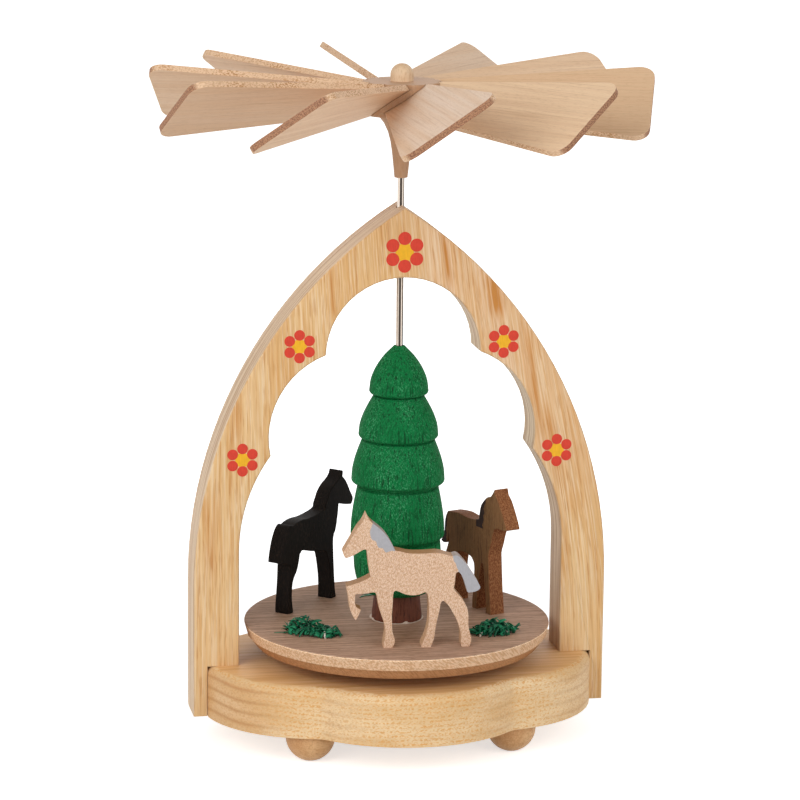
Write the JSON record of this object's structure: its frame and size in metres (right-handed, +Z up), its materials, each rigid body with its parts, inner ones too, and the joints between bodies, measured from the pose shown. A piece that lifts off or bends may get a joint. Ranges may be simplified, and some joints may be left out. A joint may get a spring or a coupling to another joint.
{
  "type": "candle carousel",
  "caption": "Heat-driven wooden carousel: arch on a scalloped base, turntable with fir tree and horses on a shaft, under a slanted-blade rotor.",
  "frame": {"origin": "on the spin axis, on the surface that the feet stand on", "axes": "+Z up along the spin axis, +X along the arch to the right as seen from the front, -Y towards the viewer in front"},
  "size_m": [0.1492, 0.1502, 0.2073],
  "materials": {
    "ash": "natural light wood, sanded, with orange-brown grain",
    "beech": "natural pinkish light wood, sanded",
    "turntable_wood": "natural wood, grey-brown face",
    "green_stain": "green stained turned wood",
    "brown_stain": "dark red-brown stained wood",
    "light_wood": "natural light wood with grey painted mane and tail",
    "black_stain": "black stained wood",
    "horse_brown": "brown stained wood",
    "shavings": "dark green dyed wood shavings",
    "steel": "bright drawn wire",
    "brass": "turned"
  },
  "bodies": {
    "stand": {"base_plate": "ash", "arch_frame": "ash", "bearing_cup": "brass", "foot_front_left": "beech", "foot_front_right": "beech", "foot_back_left": "beech", "foot_back_right": "beech"},
    "carousel": {"shaft": "steel", "turntable": "turntable_wood", "tree_trunk": "brown_stain", "tree": "green_stain", "horse_light": "light_wood", "horse_black": "black_stain", "horse_brown": "horse_brown", "moss_left": "shavings", "moss_right": "shavings", "rotor_hub": "beech", "finial": "ash", "blade_01": "beech", "blade_02": "beech", "blade_03": "beech", "blade_04": "beech", "blade_05": "beech", "blade_06": "beech", "blade_07": "beech", "blade_08": "beech", "blade_09": "beech", "blade_10": "beech"}
  },
  "joints": [
    {"name": "carousel_spin", "type": "hinge", "parent": "stand", "child": "carousel", "pos_m": [0, 0, 0], "axis": [0, 0, 1], "continuous": true}
  ]
}
